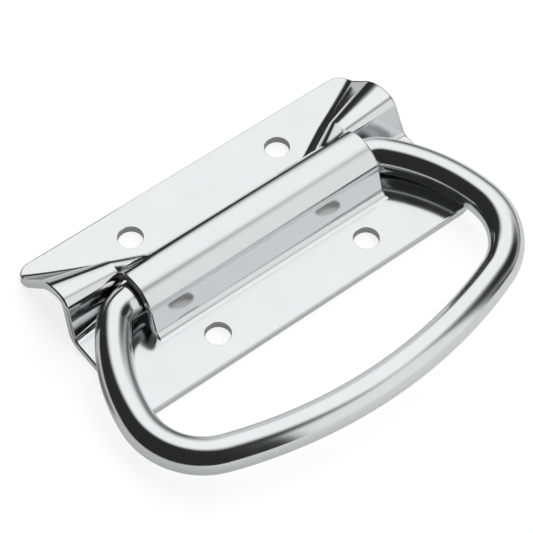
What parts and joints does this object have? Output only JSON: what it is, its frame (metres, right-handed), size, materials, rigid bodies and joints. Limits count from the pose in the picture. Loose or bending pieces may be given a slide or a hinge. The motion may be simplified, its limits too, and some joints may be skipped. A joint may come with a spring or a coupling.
{
  "type": "chest handle",
  "caption": "Surface-mounted chest handle: stamped steel plate with a half-tube boss and flared ends, and a folding round-rod bail.",
  "frame": {"origin": "middle of the screw-hole pattern, on the plate's flat back face", "axes": "+X along the boss and the hinge axis, +Y to the plate's rear edge away from the folded bail, +Z out of the mounting surface"},
  "size_m": [0.1124, 0.0847, 0.0148],
  "materials": {
    "polished_sheet": "mirror polished",
    "polished_rod": "mirror polished"
  },
  "bodies": {
    "plate": {"mounting_plate": "polished_sheet"},
    "bail": {"bail_handle": "polished_rod"}
  },
  "joints": [
    {"name": "bail_swing", "type": "hinge", "parent": "plate", "child": "bail", "pos_m": [0, -0.0007, 0.0075], "axis": [-1, 0, 0], "range_deg": [0, 92]}
  ]
}
